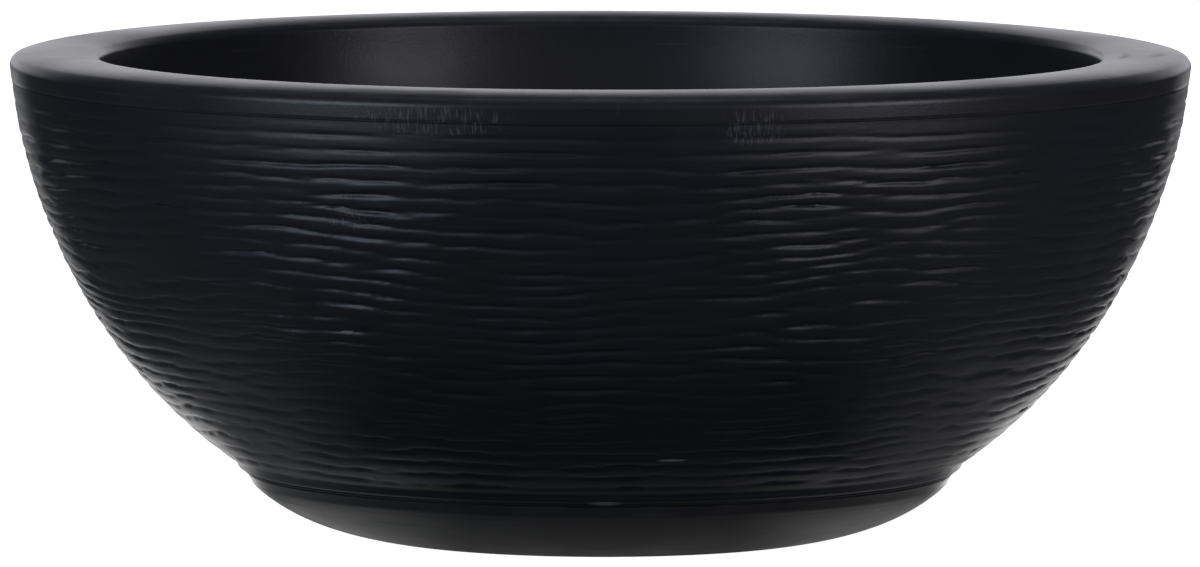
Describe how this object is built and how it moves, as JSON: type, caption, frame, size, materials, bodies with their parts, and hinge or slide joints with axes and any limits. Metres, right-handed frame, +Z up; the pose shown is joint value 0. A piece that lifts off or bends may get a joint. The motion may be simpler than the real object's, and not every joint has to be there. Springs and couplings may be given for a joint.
{
  "type": "garden bowl planter",
  "caption": "Round double-wall garden bowl planter with a wide flat rim, wavy ridged outer wall, smooth screwed-on foot and a drain with a lift-out plug.",
  "frame": {"origin": "centre of the contact ring under the foot, on the ground", "axes": "+Z up along the bowl's axis of turning, +X and +Y level; the finger loop's hole faces along Y"},
  "size_m": [0.4506, 0.4506, 0.185],
  "materials": {
    "ridged_black_plastic": "wavy ridged, satin polyethylene",
    "smooth_black_plastic": "smooth satin polyethylene",
    "foot_black_plastic": "smooth satin polyethylene, a little scuffed",
    "drain_black_plastic": "smooth moulded polypropylene",
    "black_rubber": "matt moulded rubber",
    "stainless_steel": "plain stainless steel"
  },
  "bodies": {
    "planter": {"outer_shell": "ridged_black_plastic", "inner_bowl": "smooth_black_plastic", "foot": "foot_black_plastic", "foot_screw_1": "stainless_steel", "foot_screw_2": "stainless_steel", "foot_screw_3": "stainless_steel", "foot_screw_4": "stainless_steel", "drain_spigot": "drain_black_plastic", "spigot_gasket": "black_rubber", "spigot_nut": "drain_black_plastic"},
    "plug": {"drain_plug": "drain_black_plastic", "plug_o_ring": "black_rubber"}
  },
  "joints": [
    {"name": "plug_lift", "type": "slide", "parent": "planter", "child": "plug", "axis": [0, 0, 1], "range_m": [0, 0.04]}
  ]
}
